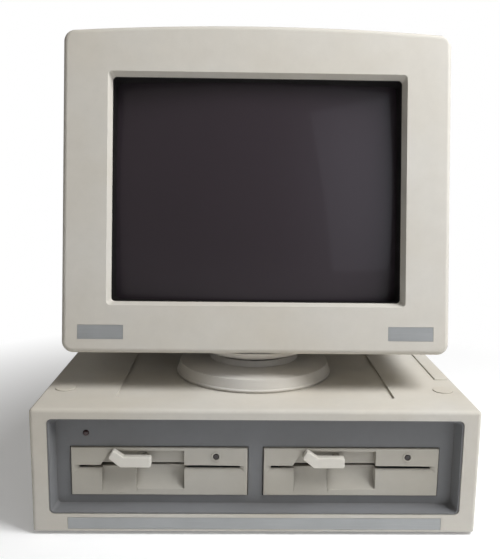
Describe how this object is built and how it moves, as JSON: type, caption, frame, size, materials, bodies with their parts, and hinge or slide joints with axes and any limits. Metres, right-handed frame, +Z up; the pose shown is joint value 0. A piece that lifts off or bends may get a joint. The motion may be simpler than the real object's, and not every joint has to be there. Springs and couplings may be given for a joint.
{
  "type": "vintage home computer",
  "caption": "Vintage desktop computer: low system unit with two disk drives side by side and a picture-tube monitor on a tilt-and-swivel ball foot.",
  "frame": {"origin": "on the floor, under the middle of the system unit, level with the bottoms of the feet", "axes": "+Z up, -Y towards the front of the machine, +X to the right seen from the front"},
  "size_m": [0.372, 0.384, 0.4269],
  "materials": {
    "case_plastic": "fine texture",
    "dome_plastic": "satin",
    "fascia_plastic": "fine texture",
    "drive_plastic": "fine texture",
    "lever_plastic": "satin",
    "dark_plastic": "satin",
    "label_metal": "brushed",
    "lamp_red": "glossy",
    "tray_steel": "satin",
    "foot_rubber": "matte",
    "screw_steel": "satin",
    "drive_metal": "cast",
    "motor_can": "satin",
    "circuit_board": "satin",
    "chip_epoxy": "matte",
    "speaker_paper": "matte",
    "cell_jacket": "glossy",
    "tube_glass": "glossy",
    "copper_winding": "satin",
    "core_iron": "matte"
  },
  "bodies": {
    "case": {"base_tray": "tray_steel", "battery_cells": "cell_jacket", "board_chips": "chip_epoxy", "cover_screws": "screw_steel", "data_sockets": "motor_can", "drive_boards": "circuit_board", "drive_lamps": "lamp_red", "expansion_connectors": "dark_plastic", "front_fascia": "fascia_plastic", "keyboard_socket": "motor_can", "label_strip": "label_metal", "left_drive_bezel": "drive_plastic", "left_drive_frame": "drive_metal", "left_stepper": "motor_can", "loudspeaker": "speaker_paper", "main_board": "circuit_board", "pivot_bolt": "screw_steel", "power_lamp": "lamp_red", "power_socket": "motor_can", "rear_panel": "tray_steel", "right_drive_bezel": "drive_plastic", "right_drive_frame": "drive_metal", "right_stepper": "motor_can", "rubber_feet": "foot_rubber", "screw_caps": "case_plastic", "swivel_base": "case_plastic", "top_cover": "case_plastic", "volume_control": "chip_epoxy"},
    "swivel": {"swivel_key": "dome_plastic"},
    "monitor": {"monitor_bezel": "case_plastic", "name_plates": "label_metal", "monitor_cabinet": "case_plastic", "cabinet_screws": "screw_steel", "picture_tube": "tube_glass", "tube_band": "screw_steel", "tube_screws": "screw_steel", "deflection_yoke": "copper_winding", "neck_board": "circuit_board", "monitor_board": "circuit_board", "flyback_transformer": "chip_epoxy", "power_transformer": "core_iron", "cable_gland": "dark_plastic", "rocker_housing": "dark_plastic", "ball_dome": "dome_plastic"},
    "volume": {"volume_wheel": "dark_plastic"},
    "brightness": {"brightness_wheel": "dark_plastic"},
    "contrast": {"contrast_wheel": "dark_plastic"},
    "rocker": {"power_rocker": "dark_plastic"},
    "battery_lid": {"battery_cover": "case_plastic"},
    "slot_lid": {"slot_cover": "case_plastic"},
    "left_lever": {"left_drive_lever": "lever_plastic"},
    "left_clamp": {"left_hub_clamp": "dark_plastic"},
    "left_spindle": {"left_spindle": "drive_metal"},
    "left_head": {"left_head_carriage": "dark_plastic"},
    "left_pulley": {"left_stepper_pulley": "screw_steel"},
    "right_lever": {"right_drive_lever": "lever_plastic"},
    "right_clamp": {"right_hub_clamp": "dark_plastic"},
    "right_spindle": {"right_spindle": "drive_metal"},
    "right_head": {"right_head_carriage": "dark_plastic"},
    "right_pulley": {"right_stepper_pulley": "screw_steel"}
  },
  "joints": [
    {"name": "left_lever_turn", "type": "hinge", "parent": "case", "child": "left_lever", "pos_m": [-0.0928, -0.182, 0.06216], "axis": [0, -1, 0], "range_deg": [0, 90]},
    {"name": "left_clamp_lift", "type": "slide", "parent": "case", "child": "left_clamp", "axis": [0, 0, 1], "range_m": [-0.0035, 0]},
    {"name": "left_spindle_turn", "type": "hinge", "parent": "case", "child": "left_spindle", "pos_m": [-0.0808, -0.104, 0.05136], "axis": [0, 0, 1], "continuous": true},
    {"name": "left_head_slide", "type": "slide", "parent": "case", "child": "left_head", "axis": [0, -1, 0], "range_m": [0, 0.0207]},
    {"name": "left_pulley_turn", "type": "hinge", "parent": "case", "child": "left_pulley", "pos_m": [-0.0418, -0.004, 0.06124], "axis": [-1, 0, 0], "range_deg": [0, 140.86]},
    {"name": "right_lever_turn", "type": "hinge", "parent": "case", "child": "right_lever", "pos_m": [0.0688, -0.182, 0.06216], "axis": [0, -1, 0], "range_deg": [0, 90]},
    {"name": "right_clamp_lift", "type": "slide", "parent": "case", "child": "right_clamp", "axis": [0, 0, 1], "range_m": [-0.0035, 0]},
    {"name": "right_spindle_turn", "type": "hinge", "parent": "case", "child": "right_spindle", "pos_m": [0.0808, -0.104, 0.05136], "axis": [0, 0, 1], "continuous": true},
    {"name": "right_head_slide", "type": "slide", "parent": "case", "child": "right_head", "axis": [0, -1, 0], "range_m": [0, 0.0207]},
    {"name": "right_pulley_turn", "type": "hinge", "parent": "case", "child": "right_pulley", "pos_m": [0.1198, -0.004, 0.06124], "axis": [-1, 0, 0], "range_deg": [0, 140.86]},
    {"name": "volume_turn", "type": "hinge", "parent": "case", "child": "volume", "pos_m": [-0.1737, -0.04, 0.063], "axis": [0, 0, 1], "range_deg": [-135, 135]},
    {"name": "brightness_turn", "type": "hinge", "parent": "monitor", "child": "brightness", "pos_m": [0.15522, -0.05685, 0.19715], "axis": [0, 0.0732, 0.9973], "range_deg": [-135, 135]},
    {"name": "contrast_turn", "type": "hinge", "parent": "monitor", "child": "contrast", "pos_m": [0.15442, -0.03092, 0.19524], "axis": [0, 0.0732, 0.9973], "range_deg": [-135, 135]},
    {"name": "rocker_tip", "type": "hinge", "parent": "monitor", "child": "rocker", "pos_m": [-0.07, 0.17447, 0.22027], "axis": [-1, 0, 0], "range_deg": [0, 15]},
    {"name": "battery_lid_lift", "type": "slide", "parent": "case", "child": "battery_lid", "axis": [0, 0, 1], "range_m": [0, 0.012]},
    {"name": "slot_lid_lift", "type": "slide", "parent": "case", "child": "slot_lid", "axis": [0, 0, 1], "range_m": [0, 0.012]},
    {"name": "swivel_turn", "type": "hinge", "parent": "case", "child": "swivel", "pos_m": [0, -0.07, 0.1075], "axis": [0, 0, 1], "range_deg": [-45, 45]},
    {"name": "tilt_lean", "type": "hinge", "parent": "swivel", "child": "monitor", "pos_m": [0, -0.07, 0.2679], "axis": [-1, 0, 0], "range_deg": [-9, 6.5]}
  ],
  "couplings": [
    {"joint": "left_lever_turn", "follows": "left_clamp_lift", "rad_per_m": -448.8},
    {"joint": "left_pulley_turn", "follows": "left_head_slide", "rad_per_m": 118.76},
    {"joint": "right_lever_turn", "follows": "right_clamp_lift", "rad_per_m": -448.8},
    {"joint": "right_pulley_turn", "follows": "right_head_slide", "rad_per_m": 118.76}
  ]
}
